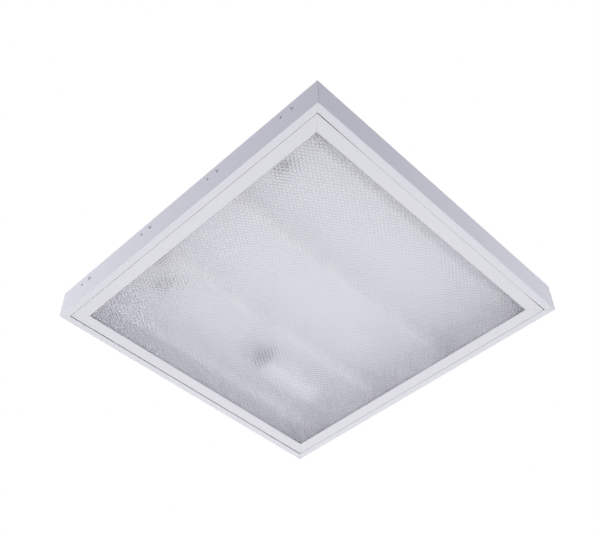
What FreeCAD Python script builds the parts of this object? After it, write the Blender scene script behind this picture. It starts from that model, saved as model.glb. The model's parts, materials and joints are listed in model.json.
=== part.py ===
"""Surface mounted prismatic ceiling light, as an assembly of separate pieces.

Frame: millimetres, origin at the centre of the ceiling face, +Z up, +X along the lamps.
The hinge side of the door is at +Y and its catch side at -Y.
"""

import FreeCAD
import Part
import Sketcher

import math
import os
import re

# Driving sizes, in millimetres
SIZES = {
    # housing, folded from sheet steel
    "body_x": 600.0,
    "body_y": 625.0,
    "body_height": 58.0,
    "sheet": 0.8,
    "lip_width": 13.0,
    "lip_bow": 1.25,
    "lip_bow_left": 125.0,
    "lip_bow_right": 70.0,
    "bend_radius": 1.0,
    "corner_seam": 0.4,
    "mitre_gap": 0.15,
    "flange_width": 12.0,
    "notch_width": 1.2,
    "notch_height": 4.0,
    "notch_drop": 24.0,
    # holes in the ceiling plate
    "fixing_inset": 100.0,
    "fixing_hole_radius": 2.75,
    "cable_inset": 108.0,
    "cable_side": 84.5,
    "spare_inset": 70.0,
    "spare_side": 83.5,
    "cable_hole_radius": 11.0,
    "grommet_bore_radius": 4.2,
    "grommet_rim": 4.0,
    "grommet_thick": 2.2,
    "grommet_membrane": 0.5,
    # door frame, extruded rails with an outer leg and an inner rib
    "side_gap": 0.5,
    "hinge_gap": 1.9,
    "catch_gap": 1.5,
    "rail_width": 22.8,
    "rail_height": 9.0,
    "rail_face": 1.4,
    "rail_leg": 1.4,
    "rail_edge_radius": 0.5,
    "rib_inset": 11.0,
    "rib_thick": 1.2,
    "key_play": 0.2,
    "key_thick": 2.5,
    "key_arm": 38.0,
    "panel_thick": 3.0,
    "panel_play": 0.6,
    "prism_depth": 1.8,
    "prism_clear": 0.1,
    "prism_hide": 1.0,
    "clip_inset": 160.0,
    "clip_length": 12.0,
    "clip_sheet": 0.5,
    "clip_play": 0.1,
    "clip_reach": 5.0,
    # hinge, two of them
    "hinge_side": 100.0,
    "hinge_inset": 6.2,
    "hinge_rise": 5.0,
    "hinge_pin_radius": 1.5,
    "hinge_pin_head": 0.9,
    "hinge_pin_head_thick": 1.0,
    "hinge_eye_wall": 1.7,
    "hinge_lug_thick": 3.0,
    "hinge_ear_thick": 2.5,
    "hinge_play": 0.3,
    "hinge_run": 0.05,
    "hinge_fit": 0.02,
    "hinge_neck": 3.6,
    "hinge_neck_front": 1.0,
    "hinge_arm_clear": 0.9,
    "hinge_arm_thick": 3.2,
    "hinge_post_inset": 1.2,
    "hinge_foot_thick": 2.0,
    "hinge_foot_length": 20.0,
    # spring catches, two of them
    "catch_side": 100.0,
    "catch_width": 14.0,
    "catch_height": 9.0,
    "catch_rise": 5.0,
    "catch_wall": 1.2,
    "catch_setback": 0.6,
    "catch_poke": 1.8,
    "catch_hole_play": 0.5,
    "plunger_radius": 2.5,
    "plunger_collar": 0.5,
    "plunger_collar_thick": 1.5,
    "plunger_run": 0.05,
    "spring_wire_radius": 0.25,
    "spring_play": 0.35,
    # lamps
    "lamp_side": 65.0,
    "lamp_drop": 26.0,
    "lamp_end_room": 25.5,
    "tube_radius": 7.9,
    "tube_wall": 0.8,
    "cap_length": 12.0,
    "cap_wall": 0.4,
    "cap_fit": 0.05,
    "cap_disc": 1.5,
    "pin_radius": 1.18,
    "pin_pitch": 4.75,
    "pin_length": 7.1,
    "pin_fit": 0.02,
    # lampholders and their brackets
    "holder_gap": 0.5,
    "holder_depth": 11.0,
    "holder_width": 20.0,
    "holder_drop": 12.0,
    "holder_slot": 3.0,
    "rotor_gap": 0.4,
    "rotor_thick": 4.0,
    "rotor_radius": 7.6,
    "rotor_play": 0.3,
    "rotor_slot_play": 0.17,
    "cavity_play": 0.84,
    "cavity_room": 1.1,
    "contact_thick": 0.4,
    "contact_height": 2.4,
    "contact_play": 0.2,
    "boss_width": 8.0,
    "boss_depth": 6.0,
    "boss_inset": 4.0,
    "boss_play": 0.15,
    "barb_reach": 0.6,
    "barb_height": 1.2,
    "shelf_drop": 8.0,
    "bracket_sheet": 1.0,
    "bracket_width": 32.0,
    "bracket_drop": 27.0,
    "mark_pitch": 22.0,
    "mark_drop": 18.0,
    "mark_hole_radius": 2.3,
    "screw_radius": 1.9,
    "screw_head_radius": 3.3,
    "screw_head_thick": 1.5,
    "screw_head_bevel": 0.8,
    "screw_tail": 2.0,
    "screw_fit": 0.05,
    "recess_length": 3.8,
    "recess_width": 0.9,
    "recess_depth": 0.9,
    # ballast
    "ballast_inset": 80.0,
    "ballast_side": 93.5,
    "ballast_length": 166.0,
    "ballast_width": 40.0,
    "ballast_height": 27.0,
    "ballast_sheet": 1.0,
    "ballast_ear": 12.0,
    "ballast_block_length": 15.0,
    "ballast_block_height": 20.0,
    "ballast_block_play": 0.3,
    "ballast_edge_radius": 1.5,
    "ballast_rib": 2.0,
    "ballast_rib_height": 4.0,
    "board_thick": 1.6,
    "board_play": 0.5,
    # mains terminal block and earth
    "terminal_inset": 42.0,
    "terminal_side": 38.5,
    "terminal_length": 20.0,
    "terminal_width": 34.0,
    "terminal_height": 19.0,
    "terminal_pitch": 10.0,
    "clamp_size": 5.0,
    "clamp_length": 14.0,
    "clamp_bore_radius": 1.6,
    "clamp_play": 0.1,
    "clamp_screw_radius": 1.7,
    "clamp_screw_play": 0.3,
    "clamp_screw_depth": 3.0,
    "earth_inset": 32.0,
    "earth_side": 29.0,
    "earth_radius": 2.0,
    "earth_length": 12.0,
    "earth_nut_flats": 7.0,
    "earth_nut_thick": 3.2,
    "earth_washer_radius": 4.5,
    "earth_washer_thick": 0.8,
    # leads
    "lead_radius": 1.1,
    "lead_rest": 0.1,
    "lead_entry_drop": 7.0,
    "lead_pitch": 3.0,
    "lead_lane": 9.0,
    "live_lane": 14.4,
    "neutral_lane": 7.2,
    "lead_out": 8.0,
    "lead_rise": 12.0,
    "lane_run": 46.5,
    "lead_wall_room": 7.0,
    "lead_turn": 24.0,
    "lead_level": 13.0,
    "lead_end_gap": 0.2,
    "clip_wall": 1.2,
    "clip_strap": 8.0,
}

# Prisms along the panel and across it, each in the place of nine of the real ones
PRISMS_ALONG = 18
PRISMS_ACROSS = 27

# Sizes that follow from the driving ones
DERIVED = {
    "half_x": "body_x / 2",
    "half_y": "body_y / 2",
    "wall_x": "half_x - sheet",
    "wall_y": "half_y - sheet",
    "fixing_x": "half_x - fixing_inset",
    "fixing_y": "half_y - fixing_inset",
    "lamp_pitch": "(body_y - 2 * lamp_side) / 3",
    "hinge_x": "half_x - hinge_side",
    "catch_x": "half_x - catch_side",
    "clip_x": "half_x - clip_inset",
    "ballast_y": "lamp_pitch / 2 + ballast_side",
    "terminal_x": "terminal_inset - half_x",
    "terminal_y": "lamp_pitch / 2 + terminal_side",
    "cable_x": "cable_inset - half_x",
    "cable_y": "lamp_pitch / 2 + cable_side",
    "spare_x": "spare_inset - half_x",
    "spare_y": "0 - lamp_pitch / 2 - spare_side",
    "earth_x": "earth_inset - half_x",
    "earth_y": "terminal_y + earth_side",
    "lip_top": "sheet - body_height",
    "door_x": "half_x - lip_width - side_gap",
    "door_hinge": "half_y - lip_width - hinge_gap",
    "door_catch": "half_y - lip_width - catch_gap",
    "rail_floor": "rail_face - body_height",
    "rail_top": "rail_height - body_height",
    "rib_far": "rib_inset + rib_thick",
    "panel_inset": "rib_far + panel_play",
    "panel_top": "rail_floor + panel_thick",
    "panel_x": "door_x - panel_inset",
    "panel_low": "panel_inset - door_catch",
    "panel_high": "door_hinge - panel_inset",
    "prism_x": f"panel_x / {PRISMS_ALONG}",
    "prism_y": f"(panel_high - panel_low) / {2 * PRISMS_ACROSS}",
    "prism_pitch": "2 * prism_x * prism_y / sqrt(prism_x ^ 2 + prism_y ^ 2)",
    "prism_turn": "atan(prism_y / prism_x)",
    "prism_tips": "rail_floor + prism_clear",
    "opening_x": "door_x - rail_width",
    "opening_low": "rail_width - door_catch",
    "opening_high": "door_hinge - rail_width",
    "hinge_y": "door_hinge - hinge_inset",
    "hinge_z": "hinge_rise - body_height",
    "hinge_eye": "hinge_pin_radius + hinge_eye_wall",
    "hinge_lug_start": "hinge_x - hinge_lug_thick / 2",
    "hinge_lug_end": "hinge_x + hinge_lug_thick / 2",
    "hinge_ear_start": "hinge_lug_end + hinge_play",
    "hinge_ear_end": "hinge_ear_start + hinge_ear_thick",
    "hinge_arm_low": "hinge_z + sqrt(hinge_inset ^ 2 + hinge_rise ^ 2) + hinge_arm_clear",
    "hinge_arm_top": "hinge_arm_low + hinge_arm_thick",
    "hinge_post": "half_y - lip_width + hinge_post_inset",
    "catch_z": "catch_rise - body_height",
    "catch_front": "half_y - lip_width + catch_setback",
    "catch_shoulder": "catch_front + catch_wall",
    "catch_collar": "catch_shoulder + plunger_collar_thick",
    "catch_back": "wall_y - catch_setback",
    "catch_seat": "catch_back - catch_wall",
    "catch_tip": "door_catch - catch_poke",
    "collar_radius": "plunger_radius + plunger_collar",
    "lamp_face": "half_x - lamp_end_room",
    "cap_inner": "tube_radius + cap_fit",
    "cap_radius": "cap_inner + cap_wall",
    "holder_face": "lamp_face + holder_gap",
    "holder_back": "holder_face + holder_depth",
    "holder_top": "0 - shelf_drop - bracket_sheet",
    "rotor_face": "holder_face + rotor_gap",
    "rotor_back": "rotor_face + rotor_thick",
    "rotor_seat": "rotor_back + rotor_play",
    "pin_end": "lamp_face + pin_length",
    "cavity_end": "pin_end + cavity_room",
    "pin_sweep": "pin_pitch / 2 + pin_radius",
    "cavity_radius": "pin_sweep + cavity_play",
    "ballast_end": "half_x - ballast_inset",
    "ballast_x": "ballast_end - ballast_length",
    "ballast_floor": "0 - sheet - ballast_sheet",
    "cover_start": "ballast_x + ballast_block_length + ballast_block_play",
    "cover_end": "ballast_end - ballast_block_length - ballast_block_play",
    "lead_z": "0 - sheet - lead_radius - lead_rest",
    "lane_x": "ballast_x - lead_out - lead_rise - lane_run",
    "lead_wall_x": "wall_x - lead_wall_room",
}

WORD = re.compile(r"[a-z][a-z0-9_]*")
LAMP_STEPS = {1: "-1.5", 2: "-0.5", 3: "0.5", 4: "1.5"}
SIDES = {"left": -1, "right": 1}
CABLE_HOLES = {"entry": ("cable_x", "cable_y"), "spare": ("spare_x", "spare_y")}

doc = FreeCAD.newDocument("PrismaticLight")
nodes = []


# The sheet of sizes, and how pieces are bound to it


def fill_sheet():
    table = doc.addObject("Spreadsheet::Sheet", "Sizes")
    for row, (alias, value) in enumerate(SIZES.items(), start=1):
        table.set(f"A{row}", alias)
        table.set(f"B{row}", str(value))
        table.setAlias(f"B{row}", alias)
    doc.recompute()
    return table


sheet = fill_sheet()


def bound(text):
    """The expression for a size, with every name taken from the sheet."""

    def cell(word):
        name = word[0]
        if name in DERIVED:
            return f"({bound(DERIVED[name])})"
        return f"Sizes.{name}" if name in SIZES else name

    return WORD.sub(cell, text)


def size(text):
    """The value of a size now, for shapes that are worked out in code."""
    return float(sheet.evalExpression(bound(text)))


def bind(piece, **sizes):
    for name, text in sizes.items():
        piece.setExpression(name, bound(text))


def place(piece, x, y, z):
    for axis, text in zip("xyz", (x, y, z)):
        piece.setExpression(f"Placement.Base.{axis}", bound(text))


def node(piece, label):
    """Hands a finished sub-part in under its own name."""
    piece.Label = label
    nodes.append(piece)
    return piece


def mirrored(side, near, far):
    """A stretch from near to far on the positive side, or its mirror image."""
    if side > 0:
        return near, far
    return f"-({far})", f"-({near})"


def about(middle, width):
    """A stretch of the given width with the given middle."""
    return f"({middle}) - ({width}) / 2", f"({middle}) + ({width}) / 2"


# Primitives, set between limits


def box(name, x, y, z):
    """A block between two limits along each axis."""
    block = doc.addObject("Part::Box", name)
    bind(
        block,
        Length=f"({x[1]}) - ({x[0]})",
        Width=f"({y[1]}) - ({y[0]})",
        Height=f"({z[1]}) - ({z[0]})",
    )
    place(block, x[0], y[0], z[0])
    return block


ALONG = {
    "x": FreeCAD.Rotation(FreeCAD.Vector(0, 1, 0), 90),
    "y": FreeCAD.Rotation(FreeCAD.Vector(1, 0, 0), -90),
    "z": FreeCAD.Rotation(),
}


def rod(name, axis, radius, span, first, second):
    """A cylinder along an axis between two limits; first and second place it across that axis."""
    cylinder = doc.addObject("Part::Cylinder", name)
    cylinder.Placement = FreeCAD.Placement(FreeCAD.Vector(), ALONG[axis])
    bind(cylinder, Radius=radius, Height=f"({span[1]}) - ({span[0]})")
    start = {"x": (span[0], first, second), "y": (first, span[0], second), "z": (first, second, span[0])}
    place(cylinder, *start[axis])
    return cylinder


def cone(name, axis, radii, span, first, second):
    """A frustum along an axis, with its first radius at the first limit."""
    frustum = doc.addObject("Part::Cone", name)
    frustum.Placement = FreeCAD.Placement(FreeCAD.Vector(), ALONG[axis])
    bind(frustum, Radius1=radii[0], Radius2=radii[1], Height=f"({span[1]}) - ({span[0]})")
    start = {"x": (span[0], first, second), "y": (first, span[0], second), "z": (first, second, span[0])}
    place(frustum, *start[axis])
    return frustum


def ball(name, radius, x, y, z):
    sphere = doc.addObject("Part::Sphere", name)
    bind(sphere, Radius=radius)
    place(sphere, x, y, z)
    return sphere


def group(name, pieces):
    """Separate solids kept together."""
    compound = doc.addObject("Part::Compound", name)
    compound.Links = pieces
    return compound


def fuse(name, pieces):
    joined = doc.addObject("Part::MultiFuse", name)
    joined.Shapes = pieces
    return joined


def cut(name, base, tools):
    pocketed = doc.addObject("Part::Cut", name)
    pocketed.Base = base
    pocketed.Tool = tools[0] if len(tools) == 1 else group(f"{name}_tools", tools)
    return pocketed


# Sketched bodies


def new_body(label):
    return node(doc.addObject("PartDesign::Body", label), label)


def new_sketch(body, name, plane, offset="0"):
    """A sketch on one of the body's own planes, moved along the plane's normal."""
    sketch = body.newObject("Sketcher::SketchObject", f"{body.Name}_{name}")
    base = next(f for f in body.Origin.OriginFeatures if f.Role == plane)
    sketch.AttachmentSupport = (base, [""])
    sketch.MapMode = "FlatFace"
    sketch.setExpression("AttachmentOffset.Base.z", bound(offset))
    return sketch


def hold_point(sketch, geometry, point, x, y):
    """Dimensions one point of a sketch from its origin."""
    for kind, text in (("DistanceX", x), ("DistanceY", y)):
        index = sketch.addConstraint(Sketcher.Constraint(kind, -1, 1, geometry, point, size(text)))
        name = f"{kind}_{geometry}"
        sketch.renameConstraint(index, name)
        sketch.setExpression(f"Constraints.{name}", bound(text))


def polygon(sketch, corners):
    """A closed outline, with each corner dimensioned."""
    first = sketch.GeometryCount
    count = len(corners)
    points = [FreeCAD.Vector(size(x), size(y), 0) for x, y in corners]
    for i in range(count):
        sketch.addGeometry(Part.LineSegment(points[i], points[(i + 1) % count]), False)
    for i in range(count):
        sketch.addConstraint(Sketcher.Constraint("Coincident", first + i, 2, first + (i + 1) % count, 1))
    for i, (x, y) in enumerate(corners):
        hold_point(sketch, first + i, 1, x, y)


def circle(sketch, x, y, radius):
    """A round hole, with its centre and radius dimensioned."""
    centre = FreeCAD.Vector(size(x), size(y), 0)
    geometry = sketch.addGeometry(Part.Circle(centre, FreeCAD.Vector(0, 0, 1), size(radius)), False)
    hold_point(sketch, geometry, 3, x, y)
    index = sketch.addConstraint(Sketcher.Constraint("Radius", geometry, size(radius)))
    sketch.renameConstraint(index, f"Radius_{geometry}")
    sketch.setExpression(f"Constraints.Radius_{geometry}", bound(radius))


def pad(body, sketch, length):
    """Material on both sides of the sketch, half the length each way."""
    feature = body.newObject("PartDesign::Pad", f"{sketch.Name}_pad")
    feature.Profile = sketch
    feature.SideType = "Symmetric"
    bind(feature, Length=length)
    doc.recompute()
    return feature


def pocket(body, sketch, length):
    """A cut on both sides of the sketch, half the length each way, that has to remove material."""
    before = body.Shape.Volume
    feature = body.newObject("PartDesign::Pocket", f"{sketch.Name}_pocket")
    feature.Profile = sketch
    feature.SideType = "Symmetric"
    bind(feature, Length=length)
    doc.recompute()
    if not body.Shape.Volume < before:
        raise RuntimeError(f"{sketch.Name} cuts nothing")
    return feature


def round_edges(body, feature, radius, axes, test):
    """Rounds the edges of a feature that run along one of the axes and whose two ends pass the test."""
    names = []
    for i, edge in enumerate(feature.Shape.Edges, start=1):
        ends = [vertex.Point for vertex in edge.Vertexes]
        run = ends[1] - ends[0]
        along = any(abs(getattr(run, axis)) > size("sheet") for axis in axes)
        if along and all(test(point) for point in ends):
            names.append(f"Edge{i}")
    feature_round = body.newObject("PartDesign::Fillet", f"{feature.Name}_round")
    feature_round.Base = (feature, names)
    bind(feature_round, Radius=radius)
    doc.recompute()
    return feature_round


def near(value, text):
    return abs(abs(value) - abs(size(text))) < size("sheet") / 100


# Housing


def housing_pan():
    """Ceiling plate, two side walls and their lips, folded from one sheet."""
    body = new_body("housing_pan")
    profile = new_sketch(body, "profile", "XZ_Plane")
    right = [
        ("half_x", "0"),
        ("half_x", "0 - body_height"),
        ("half_x - lip_width", "0 - body_height"),
        ("half_x - lip_width", "lip_top"),
        ("wall_x", "lip_top"),
        ("wall_x", "0 - sheet"),
    ]
    left = [(f"-({x})", z) for x, z in reversed(right)]
    polygon(profile, right + left)
    channel = pad(body, profile, "body_y")
    round_edges(
        body,
        channel,
        "bend_radius",
        "y",
        lambda p: near(p.x, "half_x") and (near(p.z, "body_height") or near(p.z, "0 * sheet")),
    )

    mitres = new_sketch(body, "lip_mitres", "XY_Plane", "0 - body_height")
    for side_x in (-1, 1):
        for side_y in (-1, 1):
            corners = [
                ("half_x - 2 * lip_width", "half_y - 2 * lip_width - mitre_gap"),
                ("half_x - 2 * lip_width", "half_y + lip_width"),
                ("wall_x", "half_y + lip_width"),
                ("wall_x", "wall_y - mitre_gap"),
            ]
            polygon(mitres, [(f"{side_x} * ({x})", f"{side_y} * ({y})") for x, y in corners])
    pocket(body, mitres, "4 * sheet")

    marks = new_sketch(body, "bracket_marks", "YZ_Plane")
    for step in LAMP_STEPS.values():
        for mark, radius in (("-0.5", "screw_radius + screw_fit"), ("0.5", "mark_hole_radius")):
            circle(marks, f"{step} * lamp_pitch + {mark} * mark_pitch", "0 - mark_drop", radius)
    pocket(body, marks, "2 * body_x")

    holes = new_sketch(body, "ceiling_holes", "XY_Plane")
    for side_x in (-1, 1):
        for side_y in (-1, 1):
            circle(holes, f"{side_x} * fixing_x", f"{side_y} * fixing_y", "fixing_hole_radius")
    for x, y in CABLE_HOLES.values():
        circle(holes, x, y, "cable_hole_radius")
    pocket(body, holes, "4 * sheet")


def end_wall(label, side, lip="lip_width"):
    """Wall across the end of the pan, with a flange under the ceiling plate and a lip at the bottom."""
    body = new_body(label)
    profile = new_sketch(body, "profile", "YZ_Plane")
    corners = [
        ("half_y", "0 - sheet"),
        ("half_y", "0 - body_height"),
        (f"half_y - {lip}", "0 - body_height"),
        (f"half_y - {lip}", "lip_top"),
        ("wall_y", "lip_top"),
        ("wall_y", "-2 * sheet"),
        ("half_y - flange_width", "-2 * sheet"),
        ("half_y - flange_width", "0 - sheet"),
    ]
    polygon(profile, [(f"{side} * ({y})", z) for y, z in corners])
    wall = pad(body, profile, "2 * (wall_x - corner_seam)")
    round_edges(
        body,
        wall,
        "bend_radius",
        "x",
        lambda p: near(p.y, "half_y") and (near(p.z, "body_height") or near(p.z, "sheet")),
    )

    mitres = new_sketch(body, "lip_mitres", "XY_Plane", "0 - body_height")
    for side_x in (-1, 1):
        corners = [
            ("wall_x - mitre_gap", "wall_y"),
            ("half_x + lip_width", "wall_y"),
            ("half_x + lip_width", "half_y - 2 * lip_width"),
            ("half_x - 2 * lip_width - mitre_gap", "half_y - 2 * lip_width"),
        ]
        polygon(mitres, [(f"{side_x} * ({x})", f"{side} * ({y})") for x, y in corners])
    pocket(body, mitres, "4 * sheet")

    notches = new_sketch(body, "corner_notches", "XZ_Plane", f"{-side} * half_y")
    for side_x in (-1, 1):
        edge = "wall_x - corner_seam"
        corners = [
            (f"{edge} - notch_width", "0 - notch_drop"),
            (f"{edge} + notch_width", "0 - notch_drop"),
            (f"{edge} + notch_width", "0 - notch_drop - notch_height"),
            (f"{edge} - notch_width", "0 - notch_drop - notch_height"),
        ]
        polygon(notches, [(f"{side_x} * ({x})", z) for x, z in corners])
    pocket(body, notches, "4 * sheet")
    return body


def catch_wall():
    """End wall on the catch side, with a lip that bows towards the door and draws back at both ends."""
    body = end_wall("catch_end_wall", -1, "(lip_width + lip_bow)")
    ends = new_sketch(body, "lip_ends", "XY_Plane", "0 - body_height")
    for side, run in ((-1, "lip_bow_left"), (1, "lip_bow_right")):
        corners = [
            (f"half_x - lip_width - {run}", "half_y - lip_width - lip_bow"),
            ("half_x - lip_width", "half_y - lip_width"),
            ("half_x", "half_y - lip_width"),
            ("half_x", "half_y - 2 * lip_width"),
            (f"half_x - lip_width - {run}", "half_y - 2 * lip_width"),
        ]
        polygon(ends, [(f"{side} * ({x})", f"-({y})") for x, y in corners])
    pocket(body, ends, "4 * sheet")


def cable_grommets():
    """Bushes pushed into the cable holes from inside; a membrane closes the spare one."""
    grommets = []
    for hole, (x, y) in CABLE_HOLES.items():
        name = f"grommet_{hole}"
        neck = rod(f"{name}_neck", "z", "cable_hole_radius", ("0 - sheet", "0"), x, y)
        rim_low = "0 - sheet - grommet_thick"
        rim = rod(f"{name}_rim", "z", "cable_hole_radius + grommet_rim", (rim_low, "0 - sheet"), x, y)
        bore_top = "sheet" if hole == "entry" else "0 - grommet_membrane"
        bore = rod(f"{name}_bore", "z", "grommet_bore_radius", (f"{rim_low} - sheet", bore_top), x, y)
        grommets.append(cut(name, fuse(f"{name}_blank", [neck, rim]), [bore]))
    node(group("cable_grommets", grommets), "cable_grommets")


# Door


def rail_profile(outer, inward):
    """Section of a rail from its outer edge: face, outer leg and rib."""

    def across(depth):
        return f"({outer}) + {inward} * ({depth})"

    return [
        (across("0"), "0 - body_height"),
        (across("rail_width"), "0 - body_height"),
        (across("rail_width"), "rail_floor"),
        (across("rib_far"), "rail_floor"),
        (across("rib_far"), "rail_top"),
        (across("rib_inset"), "rail_top"),
        (across("rib_inset"), "rail_floor"),
        (across("rail_leg"), "rail_floor"),
        (across("rail_leg"), "rail_top"),
        (across("0"), "rail_top"),
    ]


def end_rail(label, outer, inward):
    """Door rail along X, mitred at both ends."""
    body = new_body(label)
    profile = new_sketch(body, "profile", "YZ_Plane")
    polygon(profile, rail_profile(outer, inward))
    bar = pad(body, profile, "2 * door_x")
    lower = size("0 - body_height")
    round_edges(
        body,
        bar,
        "rail_edge_radius",
        "x",
        lambda p: abs(p.z - lower) < size("rail_face") / 100,
    )
    mitres = new_sketch(body, "mitres", "XY_Plane", "0 - body_height")
    for side in (-1, 1):
        corners = [
            ("door_x - mitre_gap + rail_width", f"({outer}) - {inward} * rail_width"),
            ("door_x - mitre_gap - 2 * rail_width", f"({outer}) + {inward} * 2 * rail_width"),
            ("door_x + 2 * rail_width", f"({outer}) + {inward} * 2 * rail_width"),
            ("door_x + 2 * rail_width", f"({outer}) - {inward} * rail_width"),
        ]
        polygon(mitres, [(f"{side} * ({x})", y) for x, y in corners])
    pocket(body, mitres, "4 * rail_height")
    return body


def hinge_rail():
    """Door rail on the hinge side, with its outer leg cut away where the hinge ears reach in."""
    body = end_rail("frame_rail_hinge", "door_hinge", "-1")
    slots = new_sketch(body, "ear_slots", "XY_Plane", "rail_floor + rail_height / 2")
    for side in SIDES.values():
        low, high = mirrored(side, "hinge_ear_start - 2 * hinge_play", "hinge_ear_end + 2 * hinge_play")
        inner = "door_hinge - rail_leg - hinge_play"
        outer = "door_hinge + rail_leg"
        polygon(slots, [(low, inner), (high, inner), (high, outer), (low, outer)])
    pocket(body, slots, "rail_height")


def catch_rail():
    """Door rail on the catch side, with a hole in its outer leg for each plunger."""
    body = end_rail("frame_rail_catch", "0 - door_catch", "1")
    holes = new_sketch(body, "plunger_holes", "XZ_Plane", "door_catch")
    for side in SIDES.values():
        circle(holes, f"{side} * catch_x", "catch_z", "plunger_radius + catch_hole_play")
    pocket(body, holes, "4 * rail_leg")


def side_rail(label, side):
    """Door rail along Y, mitred at both ends."""
    body = new_body(label)
    place(body, "0", "(door_hinge - door_catch) / 2", "0")
    length = "(door_hinge + door_catch)"
    profile = new_sketch(body, "profile", "XZ_Plane")
    outer = f"{side} * door_x"
    polygon(profile, rail_profile(outer, str(-side)))
    bar = pad(body, profile, length)
    lower = size("0 - body_height")
    round_edges(
        body,
        bar,
        "rail_edge_radius",
        "y",
        lambda p: abs(p.z - lower) < size("rail_face") / 100,
    )
    mitres = new_sketch(body, "mitres", "XY_Plane", "0 - body_height")
    for end in (-1, 1):
        corners = [
            ("door_x + rail_width", f"{length} / 2 - mitre_gap + rail_width"),
            ("door_x - 2 * rail_width", f"{length} / 2 - mitre_gap - 2 * rail_width"),
            ("door_x - 2 * rail_width", f"{length} / 2 + 2 * rail_width"),
            ("door_x + rail_width", f"{length} / 2 + 2 * rail_width"),
        ]
        polygon(mitres, [(f"{side} * ({x})", f"{end} * ({y})") for x, y in corners])
    pocket(body, mitres, "4 * rail_height")


def corner_keys():
    """Flat angle pieces pressed into the rails' channels at the four corners."""
    keys = []
    for side_x in (-1, 1):
        for side_y, edge in ((-1, "door_catch"), (1, "door_hinge")):
            name = f"corner_key_{len(keys) + 1}"
            inset = "(rail_leg + key_play)"
            depth = "(rib_inset - key_play)"
            height = ("rail_floor", "rail_floor + key_thick")
            along_x = box(
                f"{name}_along_x",
                mirrored(side_x, f"door_x - {inset} - key_arm", f"door_x - {inset}"),
                mirrored(side_y, f"{edge} - {depth}", f"{edge} - {inset}"),
                height,
            )
            along_y = box(
                f"{name}_along_y",
                mirrored(side_x, f"door_x - {depth}", f"door_x - {inset}"),
                mirrored(side_y, f"{edge} - {inset} - key_arm", f"{edge} - {inset}"),
                height,
            )
            keys.append(fuse(name, [along_x, along_y]))
    node(group("corner_keys", keys), "corner_keys")


def prism_grooves(body, name, turn):
    """Parallel grooves that lie side by side across the whole underside, turned away from the X axis."""
    count = PRISMS_ALONG + PRISMS_ACROSS + 1
    sketch = new_sketch(body, name, "YZ_Plane")
    turned = FreeCAD.Rotation(FreeCAD.Vector(0, 1, 0), size(turn))
    sketch.AttachmentOffset = FreeCAD.Placement(FreeCAD.Vector(), turned)
    sketch.setExpression("AttachmentOffset.Rotation.Angle", bound(turn))
    middle = f"-{count - 1} / 2 * prism_pitch"
    mouth = "prism_tips - prism_depth"
    corners = [
        (middle, "prism_tips + prism_depth"),
        (f"{middle} - prism_pitch", mouth),
        (f"{middle} + prism_pitch", mouth),
    ]
    polygon(sketch, corners)
    groove = pocket(body, sketch, "4 * (panel_x + panel_high)")
    pattern = body.newObject("PartDesign::LinearPattern", f"{sketch.Name}_pattern")
    pattern.Originals = [groove]
    pattern.Direction = (sketch, ["H_Axis"])
    pattern.Occurrences = count
    bind(pattern, Length=f"{count - 1} * prism_pitch")
    body.Tip = pattern
    doc.recompute()


def prismatic_panel():
    """Clear panel, lying on the inner part of the rails' faces. Two crossing sets of grooves leave a field
    of prisms on its underside, and behind the rails a flat rim runs round it."""

    def rectangle(sketch, x, low, high):
        polygon(sketch, [(f"-({x})", low), (x, low), (x, high), (f"-({x})", high)])

    body = new_body("prismatic_panel")
    outline = new_sketch(body, "outline", "XY_Plane", "rail_floor + panel_thick / 2")
    rectangle(outline, "panel_x", "panel_low", "panel_high")
    pad(body, outline, "panel_thick")
    prism_grooves(body, "rising_grooves", "prism_turn")
    prism_grooves(body, "falling_grooves", "-1 * prism_turn")
    rim = new_sketch(body, "rim", "XY_Plane", "rail_floor + prism_depth / 2")
    rectangle(rim, "panel_x", "panel_low", "panel_high")
    rectangle(rim, "opening_x + prism_hide", "opening_low - prism_hide", "opening_high + prism_hide")
    pad(body, rim, "prism_depth")


def panel_clip(name, along, middle, edge, inward):
    """Spring clip: a saddle over the rib and an arm that holds the panel down on the rail's face."""
    length = about(middle, "clip_length")

    def piece(part, near_depth, far_depth, low, high):
        across = (f"({edge}) + {inward} * ({near_depth})", f"({edge}) + {inward} * ({far_depth})")
        if inward < 0:
            across = across[::-1]
        limits = (length, across) if along == "x" else (across, length)
        return box(f"{name}_{part}", *limits, (low, high))

    outside = "rib_inset - clip_play - clip_sheet"
    inside = "rib_far + clip_play + clip_sheet"
    top = "rail_top + clip_sheet"
    arm_end = f"{inside} + clip_reach"
    return fuse(
        name,
        [
            piece("outer_leg", outside, "rib_inset - clip_play", "rail_floor + key_thick", top),
            piece("bridge", outside, inside, "rail_top", top),
            piece("inner_leg", "rib_far + clip_play", inside, "panel_top", top),
            piece("arm", "rib_far + clip_play", arm_end, "panel_top", "panel_top + clip_sheet"),
        ],
    )


def panel_clips():
    """Two clips on each rail."""
    rails = [
        ("x", "0", "door_hinge", -1),
        ("x", "0", "-(door_catch)", 1),
        ("y", "(door_hinge - door_catch) / 2", "door_x", -1),
        ("y", "(door_hinge - door_catch) / 2", "-(door_x)", 1),
    ]
    clips = []
    for along, middle, edge, inward in rails:
        for side in SIDES.values():
            name = f"panel_clip_{len(clips) + 1}"
            clips.append(panel_clip(name, along, f"{middle} + {side} * clip_x", edge, inward))
    node(group("panel_clips", clips), "panel_clips")


# Hinge


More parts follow.
